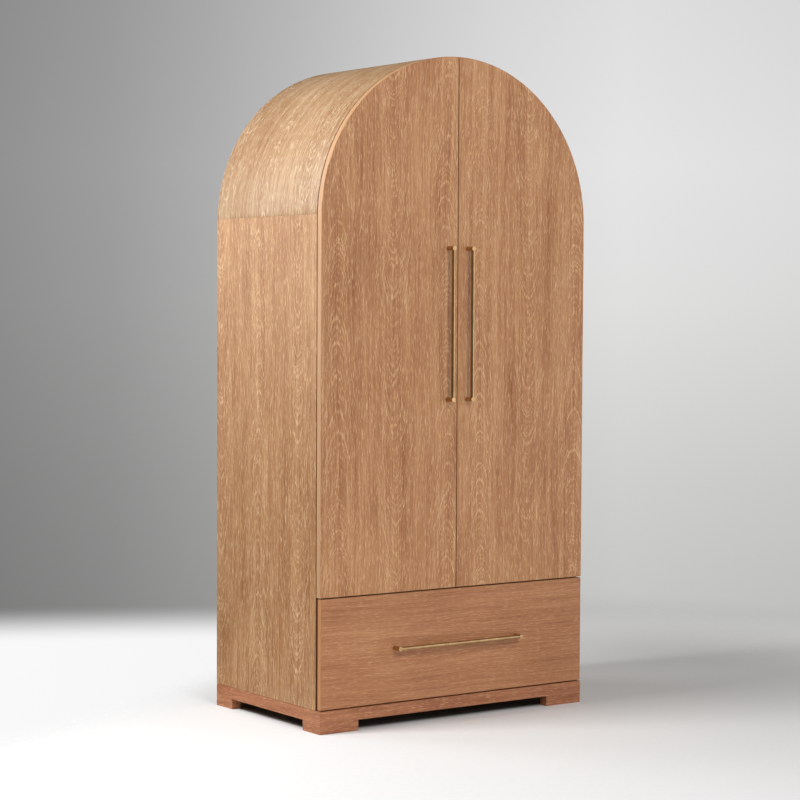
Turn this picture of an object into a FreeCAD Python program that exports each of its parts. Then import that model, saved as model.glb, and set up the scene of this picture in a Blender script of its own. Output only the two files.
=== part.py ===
import FreeCAD, Part
import os
import re
import math
from FreeCAD import Vector, Rotation, Placement

# Arched two-door armoire over one wide drawer, on a bracket-foot plinth.
# Millimetres. +Z up, +X to the right, doors face -Y. Origin at floor level, in the
# middle of the overall bounding box (pulls included).

os.makedirs("parts", exist_ok=True)
doc = FreeCAD.newDocument("armoire")

sheet = doc.addObject("Spreadsheet::Sheet", "Dims")
DIMS = [
    ("width", 1016.0), ("depth", 610.0), ("arc_r", 508.0), ("spring_z", 1558.0), ("seam_z", 1567.0),
    ("face_y", -287.875),                       # front plane of the doors and of the plinth
    ("side_t", 22.0), ("inner_rad", 486.0), ("back_t", 8.0),
    ("door_t", 21.0), ("door_gap", 2.3), ("mid_gap", 3.0), ("row_gap", 4.0), ("split_z", 411.5),
    ("ease", 1.6),
    ("plinth_top", 70.0), ("plinth_t", 32.0), ("cut_top", 32.5), ("foot_w", 140.5), ("foot_d", 96.0),
    ("cut_r", 4.0), ("reveal", 1.0),
    ("shelf_t", 18.0), ("shelf_z", 1536.0), ("shelf_set", 30.0),
    ("front_t", 17.5), ("front_proud", 1.0), ("front_in", 2.0), ("set_back", 1.5),
    ("box_half", 473.0), ("box_t", 15.0), ("box_z", 112.0), ("box_tall", 240.0), ("box_len", 520.0),
    ("bottom_t", 9.0), ("groove_up", 12.0), ("groove_in", 6.0),
    ("bar_r", 6.0), ("post_r", 7.0), ("stand", 27.0), ("post_c", 470.0),
    ("pull_x", 37.5), ("pull_z", 1002.5), ("dpull_z", 241.75),
    ("rail_r", 12.5), ("rail_z", 1478.0), ("rail_y", 20.0),
    ("cup_r", 17.5), ("cup_in", 20.5), ("cup_deep", 12.5), ("cup_wall", 1.0),
    ("run_half", 22.5), ("run_z", 232.0), ("run_len", 500.0),
]
for i, (alias, val) in enumerate(DIMS):
    sheet.set("A%d" % (i + 1), alias)
    sheet.set("B%d" % (i + 1), str(val))
    sheet.setAlias("B%d" % (i + 1), alias)
doc.recompute()
V = dict(DIMS)
NODES = []


def ex(s):
    """turns bare aliases into sheet references"""
    return re.sub(r"\b([a-z_]+)\b", lambda m: "Dims." + m.group(1) if m.group(1) in V else m.group(1), str(s))


def num(s):
    v = {}
    terms = re.findall(r"[a-z_]+|[0-9.]+|[-+*/()]", str(s))
    # small arithmetic reader: numbers, aliases, + - * / and brackets
    pos = [0]

    def atom():
        w = terms[pos[0]]
        pos[0] += 1
        if w == "(":
            r = add()
            pos[0] += 1
            return r
        if w == "-":
            return -atom()
        return V[w] if w in V else float(w)

    def mul():
        r = atom()
        while pos[0] < len(terms) and terms[pos[0]] in "*/":
            op = terms[pos[0]]
            pos[0] += 1
            q = atom()
            r = r * q if op == "*" else r / q
        return r

    def add():
        r = mul()
        while pos[0] < len(terms) and terms[pos[0]] in "+-":
            op = terms[pos[0]]
            pos[0] += 1
            q = mul()
            r = r + q if op == "+" else r - q
        return r
    return add()


def place(o, x, y, z, rot=None):
    if rot is not None:
        o.Placement = Placement(Vector(0, 0, 0), rot)
    o.setExpression("Placement.Base.x", ex(x))
    o.setExpression("Placement.Base.y", ex(y))
    o.setExpression("Placement.Base.z", ex(z))


def plane(body, role):
    for f in body.Origin.OriginFeatures:
        if f.Role == role:
            return f


def sketch(body, role, name):
    s = body.newObject("Sketcher::SketchObject", name)
    s.AttachmentSupport = [(plane(body, role), "")]
    s.MapMode = "FlatFace"
    return s


import Sketcher
L = Part.LineSegment
C = Sketcher.Constraint


def rect(s, w, d, at=("0", "0")):
    """closed rectangle with its lower-left corner at `at`, width w and height d (expressions)"""
    x0, y0, x1, y1 = num(at[0]), num(at[1]), num(at[0]) + num(w), num(at[1]) + num(d)
    p = [Vector(x0, y0, 0), Vector(x1, y0, 0), Vector(x1, y1, 0), Vector(x0, y1, 0)]
    b = s.GeometryCount
    for i in range(4):
        s.addGeometry(L(p[i], p[(i + 1) % 4]), False)
    for i in range(4):
        s.addConstraint(C("Coincident", b + i, 2, b + (i + 1) % 4, 1))
    s.addConstraint(C("Horizontal", b))
    s.addConstraint(C("Horizontal", b + 2))
    s.addConstraint(C("Vertical", b + 1))
    s.addConstraint(C("Vertical", b + 3))
    k = s.addConstraint(C("Distance", b, num(w)))
    s.setExpression("Constraints[%d]" % k, ex(w))
    k = s.addConstraint(C("Distance", b + 1, num(d)))
    s.setExpression("Constraints[%d]" % k, ex(d))
    for axis, val in (("DistanceX", at[0]), ("DistanceY", at[1])):
        if num(val) == 0:
            s.addConstraint(C("PointOnObject", b, 1, -2 if axis == "DistanceX" else -1))
        else:
            k = s.addConstraint(C(axis, -1, 1, b, 1, num(val)))
            s.setExpression("Constraints[%d]" % k, ex(val))


def node(o, label):
    o.Label = label
    NODES.append(o)
    return o


def panel(label, x, y, z, keep=True):
    """rectangular board: PartDesign body, plan rectangle padded up. x, y, z = (low, size) expressions"""
    b = doc.addObject("PartDesign::Body", "B_" + label)
    s = sketch(b, "XY_Plane", "S_" + label)
    rect(s, x[1], y[1])
    p = b.newObject("PartDesign::Pad", "P_" + label)
    p.Profile = s
    p.setExpression("Length", ex(z[1]))
    place(b, x[0], y[0], z[0])
    if keep:
        node(b, label)
    return b


def pocket(body, role, rects, depth, off=None, rev=False, name="K"):
    s = sketch(body, role, "S" + name + body.Name)
    if off is not None:
        s.AttachmentOffset = Placement(Vector(0, 0, num(off)), Rotation())
        s.setExpression("AttachmentOffset.Base.z", ex(off))
    for w, d, at in rects:
        rect(s, w, d, at)
    k = body.newObject("PartDesign::Pocket", name + body.Name)
    k.Profile = s
    k.setExpression("Length", ex(depth))
    k.Reversed = rev
    return k


AX = {"x": Rotation(Vector(0, 1, 0), 90), "-x": Rotation(Vector(0, 1, 0), -90),
      "y": Rotation(Vector(1, 0, 0), -90), "-y": Rotation(Vector(1, 0, 0), 90),
      "z": Rotation(), "-z": Rotation(Vector(1, 0, 0), 180)}
cnt = [0]


def cyl(r, l, x, y, z, axis):
    cnt[0] += 1
    c = doc.addObject("Part::Cylinder", "Cy%d" % cnt[0])
    c.setExpression("Radius", ex(r))
    c.setExpression("Height", ex(l))
    place(c, x, y, z, AX[axis])
    return c


def cone(ra, rb, l, x, y, z, axis):
    cnt[0] += 1
    c = doc.addObject("Part::Cone", "Co%d" % cnt[0])
    c.setExpression("Radius1", ex(ra))
    c.setExpression("Radius2", ex(rb))
    c.setExpression("Height", ex(l))
    place(c, x, y, z, AX[axis])
    return c


def box(sx, sy, sz, x, y, z):
    cnt[0] += 1
    c = doc.addObject("Part::Box", "Bx%d" % cnt[0])
    c.setExpression("Length", ex(sx))
    c.setExpression("Width", ex(sy))
    c.setExpression("Height", ex(sz))
    place(c, x, y, z)
    return c


def fuse(objs, label=None):
    cnt[0] += 1
    if len(objs) == 1:
        f = objs[0]
    else:
        f = doc.addObject("Part::MultiFuse", "Fu%d" % cnt[0])
        f.Shapes = objs
    if label:
        node(f, label)
    return f


def cut(a, b, label=None):
    cnt[0] += 1
    f = doc.addObject("Part::Cut", "Cu%d" % cnt[0])
    f.Base = a
    f.Tool = b
    if label:
        node(f, label)
    return f


def group(objs, label):
    """separate identical solids kept as one node"""
    cnt[0] += 1
    f = doc.addObject("Part::Compound", "Gr%d" % cnt[0])
    f.Links = objs
    return node(f, label)


def mirror(src, label=None, normal=Vector(1, 0, 0)):
    cnt[0] += 1
    f = doc.addObject("Part::Mirroring", "Mi%d" % cnt[0])
    f.Source = src
    f.Base = Vector(0, 0, 0)
    f.Normal = normal
    if label:
        node(f, label)
    return f


def edges_where(shape, test):
    out = []
    for i, e in enumerate(shape.Edges):
        if all(test(v.Point) for v in e.Vertexes) and test(e.valueAt((e.FirstParameter + e.LastParameter) / 2)):
            out.append("Edge%d" % (i + 1))
    return out


def ease(body, test, name):
    doc.recompute()
    tip = body.Tip
    f = body.newObject("PartDesign::Fillet", name)
    f.Base = (tip, edges_where(tip.Shape, test))
    f.setExpression("Radius", ex("ease"))
    doc.recompute()
    return f


def loft_profile(body, role, pts, length, name, expr_len=True):
    """closed polyline profile, fixed by its corner positions, padded"""
    s = sketch(body, role, "S" + name)
    n = len(pts)
    pv = [Vector(num(a), num(b), 0) for a, b in pts]
    for i in range(n):
        s.addGeometry(L(pv[i], pv[(i + 1) % n]), False)
    for i in range(n):
        s.addConstraint(C("Coincident", i, 2, (i + 1) % n, 1))
    for i, (a, b) in enumerate(pts):
        for axis, val, line in (("DistanceX", a, -2), ("DistanceY", b, -1)):
            if abs(num(val)) < 1e-9:
                s.addConstraint(C("PointOnObject", i, 1, line))
            else:
                k = s.addConstraint(C(axis, -1, 1, i, 1, num(val)))
                s.setExpression("Constraints[%d]" % k, ex(val))
    p = body.newObject("PartDesign::Pad", name)
    p.Profile = s
    p.setExpression("Length", ex(length))
    return p


# ---------------------------------------------------------------- plinth
# front rail: mitred ends, a long low cut-out leaves a bracket foot at each corner
b = doc.addObject("PartDesign::Body", "B_plinth_front")
loft_profile(b, "XY_Plane", [("-width/2", "0"), ("width/2", "0"), ("width/2-plinth_t", "plinth_t"), ("-width/2+plinth_t", "plinth_t")],
             "plinth_top", "P_plinth_front")
place(b, "0", "face_y", "0")
pocket(b, "XZ_Plane", [("width-2*foot_w", "cut_top", ("-width/2+foot_w", "0"))], "plinth_t", rev=False, name="Kf")
node(b, "plinth_front_rail")
# side rail (right): mitred at the front, square at the back
b = doc.addObject("PartDesign::Body", "B_plinth_side")
loft_profile(b, "XY_Plane", [("width/2", "0"), ("width/2", "depth"), ("width/2-plinth_t", "depth"), ("width/2-plinth_t", "plinth_t")],
             "plinth_top", "P_plinth_side")
place(b, "0", "face_y", "0")
pocket(b, "YZ_Plane", [("depth-2*foot_d", "cut_top", ("foot_d", "0"))], "width", rev=True, name="Ks")
node(b, "plinth_right_rail")
mirror(b, "plinth_left_rail")
# back rail, between the side rails, with the same cut-out
b = doc.addObject("PartDesign::Body", "B_plinth_back")
loft_profile(b, "XY_Plane", [("-width/2+plinth_t", "0"), ("width/2-plinth_t", "0"), ("width/2-plinth_t", "plinth_t-8"), ("-width/2+plinth_t", "plinth_t-8")],
             "plinth_top", "P_plinth_back")
place(b, "0", "face_y+depth-plinth_t+8", "0")
pocket(b, "XZ_Plane", [("width-2*foot_w", "cut_top", ("-width/2+foot_w", "0"))], "plinth_t", rev=False, name="Kb")
node(b, "plinth_back_rail")
# glue blocks in the four corners
blk = []
for sx in (1, -1):
    for yy in ("face_y+plinth_t", "face_y+depth-plinth_t+8-45"):
        blk.append(box("45", "45", "36", ("width/2-plinth_t-45" if sx > 0 else "-width/2+plinth_t"), yy, "plinth_top-36"))
group(blk, "plinth_corner_blocks")

# ---------------------------------------------------------------- carcass
CF = "face_y+door_t+door_gap"                   # datum plane that the hinges are set from
CL = "depth-door_t-door_gap"
PF = CF + "+set_back"                           # front edges of the carcass boards, behind a shadow gap
PL = CL + "-set_back"
panel("base_panel", ("-inner_rad", "2*inner_rad"), (PF, PL + "-back_t"), ("plinth_top", "side_t"))
sr = panel("right_side_panel", ("inner_rad", "side_t"), (PF, PL), ("plinth_top+reveal", "seam_z-plinth_top-reveal"))
mirror(sr, "left_side_panel")
panel("divider_panel", ("-inner_rad", "2*inner_rad"), (PF, PL + "-back_t"), ("split_z-side_t/2", "side_t"))
panel("top_shelf", ("-inner_rad+0.5", "2*inner_rad-1"), (CF + "+shelf_set", CL + "-back_t-shelf_set"), ("shelf_z", "shelf_t"))

# arched top: bent shell of side_t, from the joint with the side panels over the crown
b = doc.addObject("PartDesign::Body", "B_arch")
s = sketch(b, "XZ_Plane", "S_arch")
up = V["seam_z"] - V["spring_z"]
ao, ai = math.asin(up / V["arc_r"]), math.asin(up / V["inner_rad"])
s.addGeometry(Part.ArcOfCircle(Part.Circle(Vector(0, 0, 0), Vector(0, 0, 1), V["arc_r"]), ao, math.pi - ao), False)
s.addGeometry(Part.ArcOfCircle(Part.Circle(Vector(0, 0, 0), Vector(0, 0, 1), V["inner_rad"]), ai, math.pi - ai), False)


def pol(r, a):
    return Vector(r * math.cos(a), r * math.sin(a), 0)


s.addGeometry(L(pol(V["arc_r"], math.pi - ao), pol(V["inner_rad"], math.pi - ai)), False)
s.addGeometry(L(pol(V["inner_rad"], ai), pol(V["arc_r"], ao)), False)
for a in (0, 1):
    s.addConstraint(C("Coincident", a, 3, -1, 1))
s.addConstraint(C("Coincident", 2, 1, 0, 2))
s.addConstraint(C("Coincident", 2, 2, 1, 2))
s.addConstraint(C("Coincident", 3, 1, 1, 1))
s.addConstraint(C("Coincident", 3, 2, 0, 1))
s.addConstraint(C("Horizontal", 2))
s.addConstraint(C("Horizontal", 3))
for g, e in ((0, "arc_r"), (1, "inner_rad")):
    k = s.addConstraint(C("Radius", g, V[e]))
    s.setExpression("Constraints[%d]" % k, ex(e))
for g in (2, 3):
    k = s.addConstraint(C("DistanceY", -1, 1, g, 1, up))
    s.setExpression("Constraints[%d]" % k, ex("seam_z-spring_z"))
p = b.newObject("PartDesign::Pad", "P_arch")
p.Profile = s
p.setExpression("Length", ex(PL))
p.Reversed = True
place(b, "0", PF, "spring_z")
node(b, "arch_top")


def arched(label, r, low, t, y, x0=None, keep=True):
    """board with a straight lower part and an arched head of radius r about the spring line.
    x0 None: symmetric; else the board starts at x0 (a half board on the +X side). Padded towards -Y from y."""
    b = doc.addObject("PartDesign::Body", "B_" + label)
    s = sketch(b, "XZ_Plane", "S_" + label)
    R, lo = num(r), -num(low)
    if x0 is None:
        s.addGeometry(Part.ArcOfCircle(Part.Circle(Vector(0, 0, 0), Vector(0, 0, 1), R), 0, math.pi), False)
        s.addGeometry(L(Vector(-R, 0, 0), Vector(-R, lo, 0)), False)
        s.addGeometry(L(Vector(-R, lo, 0), Vector(R, lo, 0)), False)
        s.addGeometry(L(Vector(R, lo, 0), Vector(R, 0, 0)), False)
        s.addConstraint(C("Coincident", 0, 3, -1, 1))
        s.addConstraint(C("Coincident", 0, 2, 1, 1))
        s.addConstraint(C("Coincident", 1, 2, 2, 1))
        s.addConstraint(C("Coincident", 2, 2, 3, 1))
        s.addConstraint(C("Coincident", 3, 2, 0, 1))
        s.addConstraint(C("Vertical", 1))
        s.addConstraint(C("Horizontal", 2))
        s.addConstraint(C("Vertical", 3))
        s.addConstraint(C("PointOnObject", 0, 1, -1))
        k = s.addConstraint(C("Radius", 0, R))
        s.setExpression("Constraints[%d]" % k, ex(r))
        k = s.addConstraint(C("Distance", 3, -lo))
        s.setExpression("Constraints[%d]" % k, ex(low))
    else:
        g = num(x0)
        a1 = math.acos(g / R)
        s.addGeometry(Part.ArcOfCircle(Part.Circle(Vector(0, 0, 0), Vector(0, 0, 1), R), 0, a1), False)
        s.addGeometry(L(pol(R, a1), Vector(g, lo, 0)), False)
        s.addGeometry(L(Vector(g, lo, 0), Vector(R, lo, 0)), False)
        s.addGeometry(L(Vector(R, lo, 0), Vector(R, 0, 0)), False)
        s.addConstraint(C("Coincident", 0, 3, -1, 1))
        s.addConstraint(C("Coincident", 0, 2, 1, 1))
        s.addConstraint(C("Coincident", 1, 2, 2, 1))
        s.addConstraint(C("Coincident", 2, 2, 3, 1))
        s.addConstraint(C("Coincident", 3, 2, 0, 1))
        s.addConstraint(C("Vertical", 1))
        s.addConstraint(C("Horizontal", 2))
        s.addConstraint(C("Vertical", 3))
        s.addConstraint(C("PointOnObject", 0, 1, -1))
        k = s.addConstraint(C("Radius", 0, R))
        s.setExpression("Constraints[%d]" % k, ex(r))
        k = s.addConstraint(C("DistanceX", -1, 1, 1, 2, g))
        s.setExpression("Constraints[%d]" % k, ex(x0))
        k = s.addConstraint(C("Distance", 3, -lo))
        s.setExpression("Constraints[%d]" % k, ex(low))
    p = b.newObject("PartDesign::Pad", "P_" + label)
    p.Profile = s
    p.setExpression("Length", ex(t))
    place(b, "0", y, "spring_z")
    if keep:
        node(b, label)
    return b


arched("back_panel", "inner_rad", "spring_z-plinth_top-reveal", "back_t", "face_y+depth")

# shelf pins: in the side panels, under the shelf
pins, pinholes = [], []
for yy in (CF + "+shelf_set+50", CF + "+" + CL + "-back_t-60"):
    pins.append(cyl("2.5", "18", "inner_rad-8", yy, "shelf_z-2.5", "x"))
    pinholes.append(cyl("2.5", "12", "inner_rad", yy, "shelf_z-2.5", "x"))
pf = fuse(pins)
group([pf, mirror(pf)], "shelf_pins")
# hanging rail and its two flanged sockets
cyl_r = cyl("rail_r", "2*inner_rad-8", "-inner_rad+4", "rail_y", "rail_z", "x")
bore_r = cyl("rail_r-1.5", "2*inner_rad-6", "-inner_rad+3", "rail_y", "rail_z", "x")
cut(cyl_r, bore_r, "hanging_rail")
so = cut(fuse([cyl("27", "4", "inner_rad-4", "rail_y", "rail_z", "x"), cyl("16", "14", "inner_rad-18", "rail_y", "rail_z", "x")]),
         cyl("rail_r+0.1", "15", "inner_rad-19", "rail_y", "rail_z", "x"))
holes = fuse([cyl("2.1", "6", "inner_rad-5", "rail_y", "rail_z+21", "x"), cyl("2.1", "6", "inner_rad-5", "rail_y", "rail_z-21", "x")])
so = cut(so, holes)
group([so, mirror(so)], "rail_sockets")

# ---------------------------------------------------------------- hinges
# four concealed hinges a door. Local plan: u inward from the side's outer face, w back from the carcass front edge.
HZ = ["480", "840", "1200", "1500"]
PIV_U, PIV_W = "3", "-13"                       # door pivot line
ARM_U, ARM_W = 17.0, -7.6                       # link pin in the arm
plates, arms, cups, ppins, cscrews, pscrews, links, cupcuts = [], [], [], [], [], [], [], []
for z in HZ:
    plates.append(cut(box("3", "46", "50", "inner_rad-3", CF + "+12", z + "-25"),
                      fuse([cyl("2.2", "4", "inner_rad-3.5", CF + "+38", z + "-17", "x"), cyl("2.2", "4", "inner_rad-3.5", CF + "+38", z + "+17", "x")])))
    for dz in ("-17", "+17"):
        pscrews.append(fuse([cyl("2", "14", "inner_rad-3", CF + "+38", z + dz, "x"), cone("2", "3.6", "1.8", "inner_rad-3", CF + "+38", z + dz, "-x")]))
    # arm: a straight bar behind the front edge, a crank forward into the cup, an eye for the link pin
    b = doc.addObject("PartDesign::Body", "B_arm%s" % z)
    # plan profile (x to the right, y back): the right-hand hinge
    loft_profile(b, "XY_Plane", [("inner_rad-3", "14"), ("inner_rad-3", "56"), ("inner_rad-10", "56"), ("inner_rad-10", "2"),
                                 ("arc_r-30", "-5"), ("arc_r-20.5", "-10.2"), ("arc_r-15", "-10.4"), ("arc_r-13.9", "-8.0"), ("arc_r-15", "-5.2"), ("arc_r-20", "-4.4"), ("arc_r-25.6", "1"), ("arc_r-25.6", "14")],
                 "8", "P_arm%s" % z)
    place(b, "0", CF, z + "-4")
    eye = cyl("1.55", "12", "arc_r-%.2f" % ARM_U, CF + "%.2f" % ARM_W, z + "-6", "z")
    arms.append(cut(b, eye))
    # cup: drawn steel pot with a flange on the back of the door
    pot = cut(cyl("cup_r", "cup_deep", "arc_r-cup_in", "face_y+door_t", z, "-y"), cyl("cup_r-cup_wall", "cup_deep-cup_wall", "arc_r-cup_in", "face_y+door_t", z, "-y"))
    fl = cut(box("12", "1", "60", "arc_r-cup_in-3", "face_y+door_t", z + "-30"), cyl("cup_r-cup_wall", "3", "arc_r-cup_in", "face_y+door_t-1", z, "y"))
    fl = cut(fl, fuse([cyl("1.9", "3", "arc_r-cup_in+3", "face_y+door_t-1", z + "-24", "y"), cyl("1.9", "3", "arc_r-cup_in+3", "face_y+door_t-1", z + "+24", "y")]))
    cups.append(fuse([pot, fl]))
    for dz in ("-24", "+24"):
        cscrews.append(cyl("1.8", "13", "arc_r-cup_in+3", "face_y+door_t+1", z + dz, "-y"))
        cupcuts.append(("s", z + dz))
    cupcuts.append(("c", z))
    # link: two cranked side plates joined by the arm pin
    lk = []
    for z0 in ("-6.6", "+4.4"):
        b = doc.addObject("PartDesign::Body", "B_lk%s%s" % (z, z0[0].replace("-", "m").replace("+", "p")))
        loft_profile(b, "XY_Plane", [("arc_r-18.0", "-5.50"), ("arc_r-19.2", "-6.90"), ("arc_r-19.0", "-8.90"), ("arc_r-17.4", "-10.20"), ("arc_r-16.4", "-12.60"), ("arc_r-15.6", "-13.35"), ("arc_r-6.3", "-13.40"), ("arc_r-5.7", "-12.90"), ("arc_r-5.7", "-11.90"), ("arc_r-6.3", "-11.60"), ("arc_r-14.5", "-11.60"), ("arc_r-15.0", "-10.20"), ("arc_r-14.7", "-8.40"), ("arc_r-14.9", "-6.60"), ("arc_r-16.2", "-5.40")],
                     "2.2", "P_lk%s%s" % (z, z0[0].replace("-", "m").replace("+", "p")))
        place(b, "0", CF, z + z0)
        lk.append(b)
    lk.append(cyl("1.5", "13.2", "arc_r-%.2f" % ARM_U, CF + "%.2f" % ARM_W, z + "-6.6", "z"))
    links.append(fuse(lk))
g = group(plates, "right_hinge_plates"); mirror(g, "left_hinge_plates")
g = group(arms, "right_hinge_arms"); mirror(g, "left_hinge_arms")
g = group(pscrews, "right_hinge_plate_screws"); mirror(g, "left_hinge_plate_screws")
g = group(links, "right_hinge_links"); mirror(g, "left_hinge_links")
g = group(cups, "right_hinge_cups"); mirror(g, "left_hinge_cups")
g = group(cscrews, "right_cup_screws"); mirror(g, "left_cup_screws")

# ---------------------------------------------------------------- doors
ZB = "split_z+row_gap/2"
b = arched("door_board", "arc_r", "spring_z-split_z-row_gap/2", "door_t", "face_y+door_t", x0="mid_gap/2", keep=False)
front = -V["door_t"]
ease(b, lambda q: abs(q.y - front) < 1e-4 or abs(q.y - 0.0) < -1, "E_door")
tools = []
for kind, z in cupcuts:
    if kind == "c":
        tools.append(cyl("cup_r", "cup_deep+1", "arc_r-cup_in", "face_y+door_t+1", z, "-y"))
    else:
        tools.append(cyl("1.8", "13", "arc_r-cup_in+3", "face_y+door_t+1", z, "-y"))
for k in ("0", "post_c"):
    tools.append(cyl("2.6", "door_t+2", "pull_x", "face_y-1", "pull_z+" + k, "y"))
rd = cut(b, fuse(tools), "right_door_panel")
mirror(rd, "left_door_panel")


def pull(x, y, z, axis, tag):
    """bar pull: round bar between two round posts that stand out of the face plane y"""
    posts, bores, screws = [], [], []
    for k in ("0", "post_c"):
        px, pz = (x, z + "+" + k) if axis == "z" else (x + "+" + k, z)
        posts.append(cyl("post_r", "stand+bar_r+0.25", px, y, pz, "-y"))
        bores.append(cyl("2", "15", px, y + "+1", pz, "-y"))
        screws.append((px, pz))
    f = 4.0
    if axis == "z":
        br = cyl("bar_r", "post_c-2*4", x, y + "-stand", z + "+4", "z")
        bc = cyl("bar_r", "post_c-2*4", x, y + "-stand", z + "+4", "z")
    else:
        br = cyl("bar_r", "post_c-2*4", x + "+4", y + "-stand", z, "x")
        bc = cyl("bar_r", "post_c-2*4", x + "+4", y + "-stand", z, "x")
    ps = [cut(cut(q, bc2), bo) for q, bc2, bo in zip(posts, (bc, bc), bores)]
    return br, ps, screws


br, ps, sc = pull("pull_x", "face_y", "pull_z", "z", "door")
node(br, "right_pull_bar"); mirror(br, "left_pull_bar")
g = group(ps, "right_pull_posts"); mirror(g, "left_pull_posts")
scr = [fuse([cyl("2", "door_t+12", px, "face_y+door_t", pz, "-y"), cyl("4", "2.2", px, "face_y+door_t", pz, "y")]) for px, pz in sc]
g = group(scr, "right_pull_screws"); mirror(g, "left_pull_screws")
# felt bumpers on the back of each door, by the free edge
bp = [cyl("4", "1.9+set_back", "30", "face_y+door_t", "split_z+row_gap/2+4.6", "y"), cyl("4", "1.9+set_back", "30", "face_y+door_t", "spring_z+495.5", "y")]
g = group(bp, "right_door_bumpers"); mirror(g, "left_door_bumpers")

# ---------------------------------------------------------------- drawer
DF = "face_y-front_proud"                       # face of the drawer front
DB = "face_y-front_proud+front_t"               # its back
ZD0, ZDH = "plinth_top+row_gap", "split_z-row_gap/2-plinth_top-row_gap"
b = panel("drawer_board", ("-width/2+front_in", "width-2*front_in"), (DF, "front_t"), (ZD0, ZDH), keep=False)
ease(b, lambda q: abs(q.y) < 1e-4, "E_drawer")
tools = [cyl("2.6", "front_t+2", "-post_c/2+" + k, DF + "-1", "dpull_z", "y") for k in ("0", "post_c")]
SCR = [("-400", "box_z+60"), ("-400", "box_z+180"), ("388", "box_z+60"), ("388", "box_z+180")]
for xx, zz in SCR:
    tools.append(cyl("2", "12", xx, DB + "-12", zz, "y"))
cut(b, fuse(tools), "drawer_front")
br, ps, sc = pull("-post_c/2", DF, "dpull_z", "x", "drawer")
node(br, "drawer_pull_bar")
group(ps, "drawer_pull_posts")
group([fuse([cyl("2", "front_t+box_t+12", px, DB + "+box_t", pz, "-y"), cyl("4", "2.2", px, DB + "+box_t", pz, "y")]) for px, pz in sc], "drawer_pull_screws")
group([fuse([cyl("2", "box_t+11", xx, DB + "+box_t", zz, "-y"), cyl("4", "2", xx, DB + "+box_t", zz, "y")]) for xx, zz in SCR], "drawer_front_screws")
# box: sides run full length, front and back fit between them, bottom in a groove all round
sd = panel("drawer_side", ("box_half-box_t", "box_t"), (DB, "box_len"), ("box_z", "box_tall"), keep=False)
gr = box("groove_in", "box_len-2*box_t+2*groove_in", "bottom_t", "box_half-box_t", DB + "+box_t-groove_in", "box_z+groove_up")
sdc = cut(sd, gr, "drawer_right_side")
mirror(sdc, "drawer_left_side")
for lab, yy, gy in (("drawer_box_front", DB, "+box_t-groove_in"), ("drawer_box_back", DB + "+box_len-box_t", "")):
    e = panel(lab + "_raw", ("-box_half+box_t", "2*box_half-2*box_t"), (yy, "box_t"), ("box_z", "box_tall"), keep=False)
    t = [box("2*box_half", "groove_in", "bottom_t", "-box_half", yy + gy, "box_z+groove_up")]
    if lab == "drawer_box_front":
        t += [cyl("2", "box_t+2", xx, yy + "-1", zz, "y") for xx, zz in SCR]
        t += [cyl("2", "box_t+2", "-post_c/2+" + k, yy + "-1", "dpull_z", "y") for k in ("0", "post_c")]
    cut(e, fuse(t), lab)
panel("drawer_bottom", ("-box_half+box_t-groove_in", "2*box_half-2*box_t+2*groove_in"),
      (DB + "+box_t-groove_in", "box_len-2*box_t+2*groove_in"), ("box_z+groove_up", "bottom_t"))

# ball-bearing runners: nested channels. Section in (x, z) about the runner's centre line.
RY = DB + "+10"


def channel(web_x, lip_a, lip_b, half, wall=1.5):
    """web plus two lips, all along Y, on the +X side; x measured inward from the side panel's inner face"""
    x0 = "inner_rad-%s" % (web_x + wall)
    parts = [box(str(wall), "run_len", "2*%s" % half, x0, RY, "run_z-%s" % half)]
    for zz in ("run_z-%s" % half, "run_z+%s" % (half - wall)):
        parts.append(box(str(lip_b - lip_a), "run_len", str(wall), "inner_rad-%s" % lip_b, RY, zz))
    return fuse(parts)


rc = channel(0, 0, 9.0, 22.5)
rm = channel(5.0, 2.6, 10.9, 20.2)
rdm = channel(11.5, 7.6, 13.0, 17.4)
group([rc, mirror(rc)], "runner_cabinet_members")
group([rm, mirror(rm)], "runner_middle_members")
group([rdm, mirror(rdm)], "runner_drawer_members")

# back panel screws through the back into the carcass sides of the divider and base
bs = []
for xx in ("-420", "-210", "0", "210", "420"):
    for zz in ("split_z", "plinth_top+side_t/2"):
        bs.append(cyl("1.75", "24", xx, "face_y+depth", zz, "-y"))
bsc = [cyl("1.75", "24", xx, "face_y+depth", zz, "-y") for xx in ("-420", "-210", "0", "210", "420") for zz in ("split_z", "plinth_top+side_t/2")]
group(bs, "back_panel_screws")

doc.recompute()

# ---------------------------------------------------------------- holes that fasteners sit in


def find(label):
    for o in NODES:
        if o.Label == label:
            return o


def swap(label, tool):
    o = find(label)
    i = NODES.index(o)
    o.Label = label + "_blank"
    n = cut(o, tool)
    n.Label = label
    NODES[i] = n
    return n


holes_r = fuse([cyl("2", "15", "inner_rad-1", CF + "+38", z + dz, "x") for z in HZ for dz in ("-17", "+17")] +
               [cyl("2.5", "12", "inner_rad-1", yy, "shelf_z-2.5", "x") for yy in (CF + "+shelf_set+50", CF + "+" + CL + "-back_t-60")])
holes_l = mirror(holes_r)
swap("right_side_panel", holes_r)
swap("left_side_panel", holes_l)
bh = fuse(bsc)
for lab in ("back_panel", "divider_panel", "base_panel"):
    swap(lab, bh)

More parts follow.
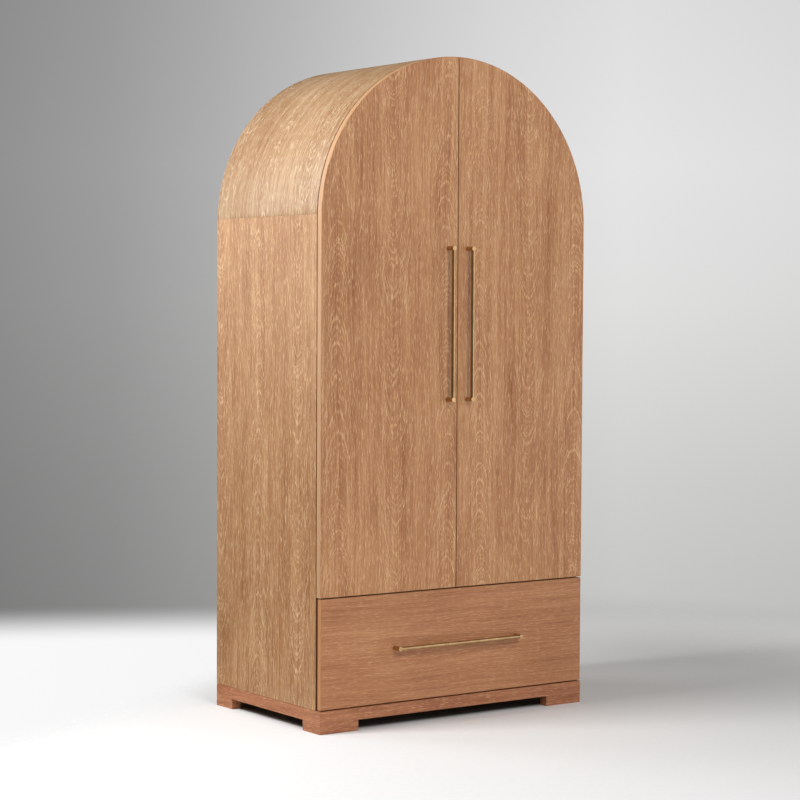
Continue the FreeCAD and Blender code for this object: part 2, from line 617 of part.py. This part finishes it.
doc.recompute()
bad = [o.Name for o in doc.Objects if "Invalid" in o.State or "Error" in o.State]
if bad:
    raise SystemExit("failed objects: %s" % bad)
seen = set()
for o in NODES:
    sh = o.Shape
    if sh.isNull() or not sh.isValid() or sh.Volume < 1:
        raise SystemExit("bad shape: %s" % o.Label)
    if o.Label in seen:
        raise SystemExit("label used twice: %s" % o.Label)
    seen.add(o.Label)
for o in NODES:
    sh = o.Shape
    sh.exportStep("parts/%s.step" % o.Label)
    bb = sh.BoundBox
    print("%-26s solids %2d vol %10.0f  x %.1f %.1f y %.1f %.1f z %.1f %.1f" % (o.Label, len(sh.Solids), sh.Volume, bb.XMin, bb.XMax, bb.YMin, bb.YMax, bb.ZMin, bb.ZMax))
print("nodes", len(NODES))
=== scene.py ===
import bpy
import math
from mathutils import Vector, Matrix

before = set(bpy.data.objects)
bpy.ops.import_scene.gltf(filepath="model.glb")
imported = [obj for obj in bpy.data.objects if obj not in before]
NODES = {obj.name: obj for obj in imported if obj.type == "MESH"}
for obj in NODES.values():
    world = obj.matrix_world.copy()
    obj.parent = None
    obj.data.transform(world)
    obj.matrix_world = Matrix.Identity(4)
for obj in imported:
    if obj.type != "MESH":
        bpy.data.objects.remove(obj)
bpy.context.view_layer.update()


def srgb(r, g, b):
    """sRGB 0-255 to linear"""
    def f(c):
        c = c / 255.0
        return c / 12.92 if c <= 0.04045 else ((c + 0.055) / 1.055) ** 2.4
    return (f(r), f(g), f(b), 1.0)


# ------------------------------------------------------------------ node helpers
class Tree:
    def __init__(self, name):
        self.mat = bpy.data.materials.new(name)
        self.mat.use_nodes = True
        self.t = self.mat.node_tree
        self.t.nodes.clear()
        self.out = self.t.nodes.new("ShaderNodeOutputMaterial")
        self.bsdf = self.t.nodes.new("ShaderNodeBsdfPrincipled")
        self.t.links.new(self.bsdf.outputs[0], self.out.inputs[0])

    def new(self, kind, **kw):
        n = self.t.nodes.new(kind)
        for k, v in kw.items():
            setattr(n, k, v)
        return n

    def put(self, sock, val):
        if isinstance(val, bpy.types.NodeSocket):
            self.t.links.new(val, sock)
        else:
            sock.default_value = val

    def math(self, op, a, b=0.0, c=0.0, clamp=False):
        n = self.new("ShaderNodeMath", operation=op)
        n.use_clamp = clamp
        for i, v in enumerate((a, b, c)):
            if i < len(n.inputs):
                self.put(n.inputs[i], v)
        return n.outputs[0]

    def add(self, a, b): return self.math("ADD", a, b)
    def sub(self, a, b): return self.math("SUBTRACT", a, b)
    def mul(self, a, b): return self.math("MULTIPLY", a, b)
    def div(self, a, b): return self.math("DIVIDE", a, b)

    def vec(self, x, y, z):
        n = self.new("ShaderNodeCombineXYZ")
        for i, v in enumerate((x, y, z)):
            self.put(n.inputs[i], v)
        return n.outputs[0]

    def noise(self, vec, scale=1.0, detail=2.0, rough=0.5, dist=0.0, lac=2.0):
        n = self.new("ShaderNodeTexNoise")
        n.noise_dimensions = "3D"
        self.put(n.inputs["Vector"], vec)
        n.inputs["Scale"].default_value = scale
        n.inputs["Detail"].default_value = detail
        n.inputs["Roughness"].default_value = rough
        n.inputs["Lacunarity"].default_value = lac
        n.inputs["Distortion"].default_value = dist
        return n.outputs[0]

    def ramp(self, fac, stops, interp="LINEAR"):
        n = self.new("ShaderNodeValToRGB")
        self.put(n.inputs[0], fac)
        cr = n.color_ramp
        cr.interpolation = interp
        while len(cr.elements) < len(stops):
            cr.elements.new(0.5)
        for e, (p, col) in zip(cr.elements, stops):
            e.position = p
            e.color = col if len(col) == 4 else (*col, 1.0)
        return n.outputs[0]

    def smooth(self, v, lo, hi, a=0.0, b=1.0):
        n = self.new("ShaderNodeMapRange")
        n.interpolation_type = "SMOOTHSTEP"
        n.clamp = True
        self.put(n.inputs[0], v)
        for i, k in ((1, lo), (2, hi), (3, a), (4, b)):
            self.put(n.inputs[i], k)
        return n.outputs[0]

    def mix(self, fac, a, b, blend="MIX"):
        n = self.new("ShaderNodeMix")
        n.data_type = "RGBA"
        n.blend_type = blend
        self.put(n.inputs[0], fac)
        self.put(n.inputs[6], a)
        self.put(n.inputs[7], b)
        return n.outputs[2]

    def grey(self, v):
        n = self.new("ShaderNodeCombineColor")
        for i in range(3):
            self.put(n.inputs[i], v)
        return n.outputs[0]


SPRING = 1.558
ARCH_R = 0.508


def grain_coords(T, mode):
    """across, along, depth in metres, and how squarely a face looks along depth"""
    tc = T.new("ShaderNodeTexCoord")
    s = T.new("ShaderNodeSeparateXYZ")
    T.t.links.new(tc.outputs["Object"], s.inputs[0])
    x, y, z = s.outputs
    n = T.new("ShaderNodeSeparateXYZ")
    T.t.links.new(tc.outputs["Normal"], n.inputs[0])
    nx, ny, nz = n.outputs
    if mode == "arc":
        zz = T.sub(z, SPRING)
        ang = T.math("ARCTAN2", x, zz)
        r = T.math("SQRT", T.add(T.mul(x, x), T.mul(zz, zz)))
        nw = T.div(T.add(T.mul(nx, x), T.mul(nz, zz)), r)
        return y, T.mul(ang, ARCH_R), r, T.math("ABSOLUTE", nw)
    ax = {"x": x, "y": y, "z": z}
    nn = {"x": nx, "y": ny, "z": nz}
    along, across = mode[0], mode[2]
    deep = "xyz".replace(along, "").replace(across, "")
    return ax[across], ax[along], ax[deep], T.math("ABSOLUTE", nn[deep])


def oak(name, mode, seed=0.0, leaf=0.205, centre=0.0, slope=0.17, ring=0.0033, heart=0.05, turn=0.0,
        dark=(150, 98, 64), mid=(186, 137, 103), pale=(214, 172, 138), pore=(232, 196, 164), edge_tone=(196, 152, 116),
        contrast=1.0, pores=1.0, lines=1.0, rough=0.52, solid=False, long=1.0, gain=(1.0, 1.0, 1.0)):
    T = Tree(name)

    def tone(c, k=1.0):
        q = srgb(*[min(255.0, v * k) for v in c])
        return tuple(q[i] * gain[i] for i in range(3)) + (1.0,)

    u, v, w, nw = grain_coords(T, mode)
    v = T.mul(v, 1.0 / long)
    # the grain wanders slowly from side to side
    wob = T.noise(T.vec(T.mul(u, 3.0), T.mul(v, 1.0), seed), 1.0, 2.0, 0.5)
    wob2 = T.noise(T.vec(T.mul(u, 17.0), T.mul(v, 5.5), seed + 7.3), 1.0, 2.0, 0.55)
    uu = T.add(T.add(u, T.mul(T.sub(wob, 0.5), 0.055)), T.mul(T.sub(wob2, 0.5), 0.010))
    # veneer leaves side by side, every other one turned end for end
    k = T.div(T.sub(uu, centre), leaf)
    idx = T.math("FLOOR", T.add(k, 0.5))
    cu = T.mul(T.sub(k, idx), leaf)
    rnd = T.new("ShaderNodeTexWhiteNoise")
    rnd.noise_dimensions = "2D"
    T.put(rnd.inputs["Vector"], T.vec(T.add(idx, seed * 3.1 + 0.37), seed + 0.11, 0.0))
    rc = T.new("ShaderNodeSeparateColor")
    T.t.links.new(rnd.outputs["Color"], rc.inputs[0])
    r1, r2, r3 = rc.outputs
    sg = T.sub(1.0, T.mul(T.math("PINGPONG", T.add(idx, turn), 1.0), 2.0))
    # growth rings: upright lines far from the heart, open chevrons over it
    slip = T.noise(T.vec(T.add(idx, seed), T.mul(v, 1.7), seed + 3.7), 1.0, 1.0, 0.5)
    vv = T.add(T.add(v, T.mul(r1, 2.0)), T.mul(T.sub(slip, 0.5), 0.30))
    jag = T.noise(T.vec(T.mul(u, 230.0), T.mul(v, 30.0), T.add(T.mul(w, 40.0), seed)), 1.0, 2.0, 0.6)
    ss = T.math("SQRT", T.add(T.mul(cu, cu), heart * heart))
    rr = T.add(ss, T.mul(T.mul(vv, sg), slope))
    rr = T.add(rr, T.mul(T.sub(jag, 0.5), 0.0052))
    uneven = T.noise(T.vec(T.mul(rr, 95.0), T.add(idx, seed), 0.0), 1.0, 2.0, 0.5)
    ph = T.add(T.mul(rr, 1.0 / ring), T.mul(T.sub(uneven, 0.5), 2.2))
    fr = T.math("FRACT", ph)
    early = T.sub(1.0, T.math("ABSOLUTE", T.sub(T.mul(fr, 2.0), 1.0)))
    early = T.smooth(early, 0.30, 0.95)
    strength = T.noise(T.vec(T.mul(T.math("FLOOR", ph), 3.7), T.mul(v, 7.0), T.add(idx, seed)), 1.0, 1.0, 0.5)
    strength = T.smooth(strength, 0.38, 0.68, 0.15, 1.0)
    near = T.smooth(T.math("ABSOLUTE", cu), 0.035, 0.085, 1.0, 0.45)
    line = T.mul(T.mul(early, strength), near)
    # streaks and fibres
    broad = T.noise(T.vec(T.mul(uu, 30.0), T.mul(v, 1.0), seed), 1.0, 3.0, 0.6)
    strk = T.noise(T.vec(T.mul(uu, 210.0), T.mul(v, 3.4), T.add(T.mul(w, 20.0), seed)), 1.0, 2.0, 0.6)
    fib = T.noise(T.vec(T.mul(uu, 900.0), T.mul(v, 26.0), T.mul(w, 300.0)), 1.0, 2.0, 0.55)
    blot = T.noise(T.vec(T.mul(u, 6.0), T.mul(v, 3.2), seed + 1.9), 1.0, 3.0, 0.55)
    # limed pores: short pale dashes, thickest in the early wood
    p1 = T.noise(T.vec(T.mul(uu, 520.0), T.mul(v, 38.0), T.mul(w, 200.0)), 1.0, 1.0, 0.5)
    p2 = T.noise(T.vec(T.mul(uu, 360.0), T.mul(v, 24.0), T.add(T.mul(w, 90.0), 4.4)), 1.0, 1.0, 0.5)
    fine = T.noise(T.vec(T.mul(uu, 400.0), T.mul(v, 62.0), T.add(T.mul(w, 90.0), 9.1)), 1.0, 2.0, 0.6)
    pm = T.mul(line, 0.13 * lines)
    pr = T.add(T.mul(T.smooth(T.add(p1, pm), 0.60, 0.72), 0.95), T.mul(T.smooth(T.add(p2, pm), 0.64, 0.76), 0.90))
    pr = T.math("MINIMUM", pr, 1.0)
    f = T.add(0.5, T.mul(T.sub(broad, 0.5), 0.70 * contrast))
    f = T.add(f, T.mul(T.sub(strk, 0.5), 0.90 * contrast))
    f = T.add(f, T.mul(T.sub(fine, 0.5), 0.42 * contrast))
    f = T.add(f, T.mul(T.sub(fib, 0.5), 0.30 * contrast))
    f = T.add(f, T.mul(T.sub(blot, 0.5), 0.50 * contrast))
    f = T.add(f, T.mul(T.sub(line, 0.25), 0.20 * contrast * lines))
    f = T.add(f, T.mul(T.sub(r2, 0.5), 0.08 * contrast))
    f = T.math("MINIMUM", T.math("MAXIMUM", f, 0.0), 1.0)
    col = T.ramp(f, [(0.10, tone(dark)), (0.50, tone(mid)), (0.95, tone(pale))])
    col = T.mix(T.mul(pr, 0.56 * pores), col, tone(pore))
    # narrow edges: straight lipping with its streaks along the edge, or end grain on solid wood
    e1 = T.noise(T.vec(T.mul(u, 5.0), T.mul(v, 5.0), T.mul(w, 260.0)), 1.0, 3.0, 0.6)
    e2 = T.noise(T.vec(T.mul(u, 60.0), T.mul(v, 60.0), T.mul(w, 1100.0)), 1.0, 2.0, 0.6)
    ef = T.add(T.mul(e1, 0.6), T.mul(e2, 0.4))
    ecol = T.ramp(ef, [(0.28, tone(edge_tone, 0.90)), (0.50, tone(edge_tone)), (0.72, tone(edge_tone, 1.08))])
    onface = T.smooth(nw, 0.60, 0.78)
    if not solid:
        col = T.mix(onface, ecol, col)
    # corners: a little worn and paler where the edge is eased
    bev = T.new("ShaderNodeBevel")
    bev.samples = 4
    bev.inputs["Radius"].default_value = 0.0014
    geo = T.new("ShaderNodeNewGeometry")
    dt = T.new("ShaderNodeVectorMath", operation="DOT_PRODUCT")
    T.t.links.new(bev.outputs[0], dt.inputs[0])
    T.t.links.new(geo.outputs["Normal"], dt.inputs[1])
    edge = T.smooth(dt.outputs["Value"], 0.995, 0.86)
    wear = T.noise(T.vec(T.mul(u, 60.0), T.mul(v, 60.0), T.mul(w, 60.0)), 1.0, 3.0, 0.6)
    edge = T.mul(edge, T.smooth(wear, 0.35, 0.65, 0.10, 0.45))
    col = T.mix(edge, col, tone(mid, 1.13))
    T.put(T.bsdf.inputs["Base Color"], col)
    ro = T.add(rough, T.add(T.mul(T.sub(fib, 0.5), 0.16), T.add(T.mul(pr, 0.10), T.mul(T.sub(blot, 0.5), 0.10))))
    T.put(T.bsdf.inputs["Roughness"], ro)
    T.bsdf.inputs["Specular IOR Level"].default_value = 0.5
    b1 = T.new("ShaderNodeBump")
    hgt = T.add(T.mul(fib, 0.35), T.add(T.mul(pr, -0.55), T.mul(strk, 0.25)))
    T.put(b1.inputs["Height"], hgt)
    b1.inputs["Strength"].default_value = 0.30
    b1.inputs["Distance"].default_value = 0.0005
    T.t.links.new(b1.outputs[0], T.bsdf.inputs["Normal"])
    return T.mat


def metal(name, base, worn, rough=0.28, brush=(1.0, 1.0, 1.0), patina=0.5, dark=None):
    T = Tree(name)
    tc = T.new("ShaderNodeTexCoord")
    s = T.new("ShaderNodeSeparateXYZ")
    T.t.links.new(tc.outputs["Object"], s.inputs[0])
    x, y, z = s.outputs
    br = T.noise(T.vec(T.mul(x, 2600.0 * brush[0]), T.mul(y, 2600.0 * brush[1]), T.mul(z, 2600.0 * brush[2])), 1.0, 2.0, 0.5)
    cl = T.noise(T.vec(T.mul(x, 38.0), T.mul(y, 38.0), T.mul(z, 38.0)), 1.0, 4.0, 0.6)
    sp = T.noise(T.vec(T.mul(x, 420.0), T.mul(y, 420.0), T.mul(z, 420.0)), 1.0, 3.0, 0.6)
    f = T.add(T.mul(cl, 0.65), T.mul(sp, 0.35))
    col = T.ramp(f, [(0.30, dark or tuple(c * 0.72 for c in base[:3]) + (1.0,)), (0.52, base), (0.75, worn)])
    T.put(T.bsdf.inputs["Base Color"], col)
    T.bsdf.inputs["Metallic"].default_value = 1.0
    T.put(T.bsdf.inputs["Roughness"], T.add(rough, T.add(T.mul(T.sub(br, 0.5), 0.08), T.mul(T.sub(cl, 0.5), 0.12 * patina))))
    b = T.new("ShaderNodeBump")
    T.put(b.inputs["Height"], T.add(T.mul(br, 0.7), T.mul(sp, 0.3)))
    b.inputs["Strength"].default_value = 0.06
    b.inputs["Distance"].default_value = 0.00004
    T.t.links.new(b.outputs[0], T.bsdf.inputs["Normal"])
    return T.mat


def felt(name):
    T = Tree(name)
    tc = T.new("ShaderNodeTexCoord")
    m = T.new("ShaderNodeVectorMath", operation="SCALE")
    T.t.links.new(tc.outputs["Object"], m.inputs[0])
    m.inputs["Scale"].default_value = 1.0
    n1 = T.noise(m.outputs[0], 2400.0, 3.0, 0.7)
    n2 = T.noise(m.outputs[0], 300.0, 2.0, 0.5)
    col = T.ramp(T.add(T.mul(n1, 0.7), T.mul(n2, 0.3)), [(0.3, srgb(44, 34, 28)), (0.7, srgb(92, 76, 64))])
    T.put(T.bsdf.inputs["Base Color"], col)
    T.put(T.bsdf.inputs["Roughness"], T.add(0.85, T.mul(n2, 0.1)))
    T.bsdf.inputs["Sheen Weight"].default_value = 0.3
    b = T.new("ShaderNodeBump")
    T.put(b.inputs["Height"], n1)
    b.inputs["Strength"].default_value = 0.6
    b.inputs["Distance"].default_value = 0.0004
    T.t.links.new(b.outputs[0], T.bsdf.inputs["Normal"])
    return T.mat


# ------------------------------------------------------------------ materials on the CAD nodes
birch = dict(dark=(178, 142, 98), mid=(206, 174, 130), pale=(226, 200, 160), pore=(196, 158, 112), edge_tone=(200, 166, 120),
             contrast=0.6, pores=0.35, lines=0.5)
plinth = dict(dark=(126, 72, 44), mid=(160, 106, 72), pale=(188, 138, 102), pore=(206, 164, 128), edge_tone=(160, 104, 70),
              ring=0.0030, slope=0.05, leaf=0.30, solid=True, gain=(1.07, 0.97, 0.84))
door = dict(dark=(132, 72, 34), mid=(164, 110, 72), pale=(192, 144, 106), pore=(214, 174, 136), edge_tone=(172, 130, 98), gain=(1.10, 1.15, 1.05))
# painted shade: the side panels' and arch's narrow edges get a dark edge_tone, darker than their veneer, standing in
# for the shade in the gaps beside the doors and drawer
side = dict(dark=(132, 76, 36), mid=(164, 114, 76), pale=(194, 148, 110), pore=(220, 182, 144), edge_tone=(118, 72, 40), contrast=1.0, pores=1.05)
# the arch's gain paints a sheen into its veneer: paler and bluer than the side panels, standing in for the key light's
# sheen on the arch
side_gain, arch_painted_sheen_gain = (0.98, 1.09, 1.06), (0.88, 1.12, 1.28)
drawer = dict(dark=(126, 70, 36), mid=(156, 102, 68), pale=(184, 134, 98), pore=(202, 158, 120), edge_tone=(166, 116, 80),
              contrast=0.8, pores=0.75, lines=0.6, gain=(1.13, 1.13, 1.00))
MATS = {
    "left_door_panel": oak("oak_left_door", "z|x", seed=1.0, centre=-0.242, leaf=0.205, turn=1.0, **door),
    "right_door_panel": oak("oak_right_door", "z|x", seed=5.0, centre=0.092, leaf=0.190, **door),
    "drawer_front": oak("oak_drawer_front", "x|z", seed=9.0, centre=0.236, leaf=0.30, slope=0.05, heart=0.03, **drawer),
    "left_side_panel": oak("oak_left_side", "z|y", seed=13.0, centre=0.07, leaf=0.23, gain=side_gain, **side),
    "right_side_panel": oak("oak_right_side", "z|y", seed=17.0, centre=0.05, leaf=0.22, gain=side_gain, **side),
    "arch_top": oak("oak_arch", "arc", seed=21.0, centre=0.05, leaf=0.23, gain=arch_painted_sheen_gain, **side),
    "base_panel": oak("oak_base", "x|y", seed=25.0, leaf=0.25, **door),
    "divider_panel": oak("oak_divider", "x|y", seed=29.0, leaf=0.25, **door),
    "top_shelf": oak("oak_shelf", "x|y", seed=33.0, leaf=0.25, **door),
    "back_panel": oak("oak_back", "z|x", seed=37.0, leaf=0.24, rough=0.62, **door),
    "plinth_front_rail": oak("oak_plinth_front", "x|z", seed=41.0, centre=-0.1, **plinth),
    "plinth_back_rail": oak("oak_plinth_back", "x|z", seed=45.0, centre=-0.1, **plinth),
    "plinth_left_rail": oak("oak_plinth_left", "y|z", seed=49.0, centre=-0.1, **plinth),
    "plinth_right_rail": oak("oak_plinth_right", "y|z", seed=53.0, centre=-0.1, **plinth),
    "plinth_corner_blocks": oak("oak_blocks", "z|x", seed=57.0, **plinth),
    "drawer_left_side": oak("birch_left", "y|z", seed=61.0, **birch),
    "drawer_right_side": oak("birch_right", "y|z", seed=65.0, **birch),
    "drawer_box_front": oak("birch_front", "x|z", seed=69.0, **birch),
    "drawer_box_back": oak("birch_back", "x|z", seed=73.0, **birch),
    "drawer_bottom": oak("birch_bottom", "x|y", seed=77.0, **birch),
}
brass_c, brass_w = srgb(186, 153, 110), srgb(210, 182, 140)
BRASS_Z = metal("aged_brass_upright", brass_c, brass_w, 0.22, brush=(1, 1, 0.02))
BRASS_X = metal("aged_brass_level", brass_c, brass_w, 0.22, brush=(0.02, 1, 1))
BRASS_Y = metal("aged_brass_post", brass_c, brass_w, 0.22, brush=(1, 0.03, 1))
STEEL = metal("nickel_steel", srgb(188, 186, 180), srgb(220, 219, 214), 0.30, patina=0.6)
ZINC = metal("zinc_screws", srgb(176, 172, 160), srgb(206, 202, 190), 0.36, patina=0.9)
FELT = felt("brown_felt")

for name, ob in NODES.items():
    if name in MATS:
        mat = MATS[name]
    elif "bumper" in name:
        mat = FELT
    elif name in ("left_pull_bar", "right_pull_bar"):
        mat = BRASS_Z
    elif name in ("drawer_pull_bar", "hanging_rail"):
        mat = BRASS_X
    elif "pull_posts" in name or name == "rail_sockets":
        mat = BRASS_Y
    elif "screw" in name or "pins" in name:
        mat = ZINC
    else:
        mat = STEEL
    ob.data.materials.clear()
    ob.data.materials.append(mat)


# ------------------------------------------------------------------ eased edges
def eased(ob, width, segs=2, angle=40):
    wl = ob.modifiers.new("weld", "WELD")
    wl.merge_threshold = 0.00002
    bv = ob.modifiers.new("ease", "BEVEL")
    bv.width = width
    bv.segments = segs
    bv.limit_method = "ANGLE"
    bv.angle_limit = math.radians(angle)
    bv.harden_normals = True
    bv.use_clamp_overlap = True


for n in ("left_side_panel", "right_side_panel", "arch_top", "plinth_front_rail", "plinth_back_rail",
          "plinth_left_rail", "plinth_right_rail", "base_panel", "divider_panel", "top_shelf",
          "drawer_left_side", "drawer_right_side", "drawer_box_front", "drawer_box_back"):
    eased(NODES[n], 0.0005 if n in ("left_side_panel", "right_side_panel", "arch_top") else 0.0008)
for n in ("left_pull_posts", "right_pull_posts", "drawer_pull_posts"):
    eased(NODES[n], 0.0016, 4)

# ------------------------------------------------------------------ stage
FWD = Vector((math.sin(math.radians(35.19)), math.cos(math.radians(35.19)), 0.0))
RGT = Vector((FWD.y, -FWD.x, 0.0))

fm = Tree("floor_pale")
tc = fm.new("ShaderNodeTexCoord")
ln = fm.new("ShaderNodeVectorMath", operation="LENGTH")
fm.t.links.new(tc.outputs["Object"], ln.inputs[0])
fine = fm.noise(tc.outputs["Object"], 60.0, 3.0, 0.5)
# painted shadow: the floor colour beneath the plinth is darkened almost to black, standing in for a deep contact shadow
fs = fm.new("ShaderNodeSeparateXYZ")
fm.t.links.new(tc.outputs["Object"], fs.inputs[0])
painted_contact_shadow = fm.mul(fm.smooth(fm.math("ABSOLUTE", fs.outputs[0]), 0.500, 0.455), fm.smooth(fm.math("ABSOLUTE", fs.outputs[1]), 0.285, 0.235))
pale_floor = fm.ramp(fine, [(0.3, (0.815, 0.832, 0.845)), (0.7, (0.84, 0.857, 0.87))])
fm.put(fm.bsdf.inputs["Base Color"], fm.mix(fm.mul(painted_contact_shadow, 0.80), pale_floor, (0.03, 0.035, 0.04, 1.0)))
fm.bsdf.inputs["Roughness"].default_value = 0.6
fm.bsdf.inputs["Specular IOR Level"].default_value = 0.15
tr = fm.new("ShaderNodeBsdfTransparent")
mx = fm.new("ShaderNodeMixShader")
# painted light: the floor turns see-through into the backdrop with distance, and sooner to the left and back of the
# cabinet, so the cabinet's real shadow there gives way to the backdrop's painted pale floor
far = fm.smooth(ln.outputs["Value"], 1.35, 3.1)
lb = fm.new("ShaderNodeVectorMath", operation="DOT_PRODUCT")
fm.t.links.new(tc.outputs["Object"], lb.inputs[0])
lb.inputs[1].default_value = FWD * 0.45 - RGT
fm.put(mx.inputs[0], fm.math("MAXIMUM", far, fm.smooth(lb.outputs["Value"], 0.55, 1.00)))
fm.t.links.new(fm.bsdf.outputs[0], mx.inputs[1])
fm.t.links.new(tr.outputs[0], mx.inputs[2])
fm.t.links.new(mx.outputs[0], fm.out.inputs[0])
import bmesh
bm = bmesh.new()
bmesh.ops.create_circle(bm, cap_ends=True, segments=96, radius=3.6)
me = bpy.data.meshes.new("floor")
bm.to_mesh(me)
bm.free()
floor = bpy.data.objects.new("floor", me)
floor.location = (0, 0, -0.0002)
bpy.context.scene.collection.objects.link(floor)
me.materials.append(fm.mat)

world = bpy.data.worlds.new("studio")
bpy.context.scene.world = world
world.use_nodes = True
wt = world.node_tree
wt.nodes.clear()


class WTree(Tree):
    def __init__(self, t):
        self.t = t


W = WTree(wt)
wout = W.new("ShaderNodeOutputWorld")
wtc = W.new("ShaderNodeTexCoord")
dd = W.new("ShaderNodeVectorMath", operation="DOT_PRODUCT")
wt.links.new(wtc.outputs["Generated"], dd.inputs[0])
dd.inputs[1].default_value = RGT
q = W.math("MULTIPLY_ADD", dd.outputs["Value"], 1.0 / 0.40, 0.5)
sp = W.new("ShaderNodeSeparateXYZ")
wt.links.new(wtc.outputs["Generated"], sp.inputs[0])


def g(v):
    return srgb(v, v, v)


def qx(px):
    a = math.atan((px - 400) / 2224.0)
    return math.sin(a) / 0.40 + 0.5


# painted shade on the backdrop wall: darker on the left, lighter on the right, as the studio light falls across it
wall = W.ramp(q, [(qx(0), g(146)), (qx(110), g(158)), (qx(210), g(174)), (qx(300), g(190)), (qx(400), g(208)), (qx(500), g(221)), (qx(620), g(229)), (qx(800), g(222))])
# painted shade: the wall is painted darker towards its foot; elevation z = sin
elev = W.ramp(W.math("MULTIPLY_ADD", sp.outputs[2], 1.0 / 0.40, 0.5),
              [(0.5 + math.sin(math.radians(-7.7)) / 0.4, (0.72, 0.72, 0.71)), (0.5 + math.sin(math.radians(-4.5)) / 0.4, (0.80, 0.80, 0.79)),
               (0.5, (0.95, 0.95, 0.94)), (0.5 + math.sin(math.radians(3.5)) / 0.4, (1, 1, 1)), (0.5 + math.sin(math.radians(8)) / 0.4, (0.93, 0.93, 0.93))])
wall = W.mix(1.0, wall, elev, "MULTIPLY")
# painted shade on the backdrop floor: lighter on the left and darker to the right, where light falls off and the
# cabinet's shadow lies
fl = W.ramp(q, [(qx(0), g(249)), (qx(300), g(245)), (qx(500), g(238)), (qx(620), g(232)), (qx(800), g(222))])
isfl = W.smooth(sp.outputs[2], math.sin(math.radians(-7.75)), math.sin(math.radians(-8.7)))
cam_col = W.mix(isfl, wall, fl)
lp = W.new("ShaderNodeLightPath")
bgc = W.new("ShaderNodeBackground")
wt.links.new(cam_col, bgc.inputs[0])
bgl = W.new("ShaderNodeBackground")
q2 = W.math("MULTIPLY_ADD", dd.outputs["Value"], 0.5, 0.5)
amb = W.ramp(q2, [(0.0, (0.14, 0.13, 0.12)), (0.50, (0.155, 0.14, 0.125)), (0.85, (0.165, 0.15, 0.135)), (0.94, (1.15, 1.15, 1.15)), (1.0, (1.70, 1.70, 1.70))])
wt.links.new(amb, bgl.inputs[0])
bgl.inputs[1].default_value = 1.0
mw = W.new("ShaderNodeMixShader")
wt.links.new(lp.outputs["Is Camera Ray"], mw.inputs[0])
wt.links.new(bgl.outputs[0], mw.inputs[1])
wt.links.new(bgc.outputs[0], mw.inputs[2])
wt.links.new(mw.outputs[0], wout.inputs[0])


def area(name, loc, target, sx, sy, power, color=(1, 1, 1), spread=180):
    l = bpy.data.lights.new(name, "AREA")
    l.shape = "RECTANGLE"
    l.size, l.size_y = sx, sy
    l.energy = power
    l.color = color
    l.spread = math.radians(spread)
    o = bpy.data.objects.new(name, l)
    o.location = loc
    d = Vector(target) - Vector(loc)
    o.rotation_euler = d.to_track_quat("-Z", "Y").to_euler()
    bpy.context.scene.collection.objects.link(o)
    return o


area("key_left", (-2.6, 0.24, 2.85), (-0.4, 0.05, 1.3), 1.1, 1.1, 102, (1.0, 1.0, 1.0))
area("left_back", (-2.9, 3.4, 2.3), (-0.5, 0.0, 1.3), 1.9, 1.6, 58, (1.0, 1.0, 1.0))
area("front", (-0.9, -4.6, 3.5), (0.0, -0.2, 1.1), 1.8, 1.8, 137, (1.0, 1.0, 1.0))

# ------------------------------------------------------------------ camera
AZ, PITCH, ROLL, DIST, F_PX, YAWO, CZ = -35.19, 2.52, 0.291, 7.190, 2224.0, 0.024, 1.3049
azr, el, roll = math.radians(AZ), math.radians(PITCH), math.radians(ROLL)
yaw = azr + math.radians(YAWO)
C = Vector((DIST * math.sin(azr), -DIST * math.cos(azr) + 0.017125, CZ))
f = Vector((-math.sin(yaw) * math.cos(el), math.cos(yaw) * math.cos(el), -math.sin(el)))
rt = f.cross(Vector((0, 0, 1))).normalized()
up = rt.cross(f)
r2 = math.cos(roll) * rt + math.sin(roll) * up
u2 = -math.sin(roll) * rt + math.cos(roll) * up
cam = bpy.data.cameras.new("camera")
cam.sensor_width = 36.0
cam.lens = F_PX * 36.0 / 800.0
cam.clip_start = 0.05
cam.clip_end = 200.0
co = bpy.data.objects.new("camera", cam)
m = Matrix((r2, u2, -f)).transposed().to_4x4()
m.translation = C
co.matrix_world = m
bpy.context.scene.collection.objects.link(co)
bpy.context.scene.camera = co
bpy.context.scene.view_settings.view_transform = "Standard"
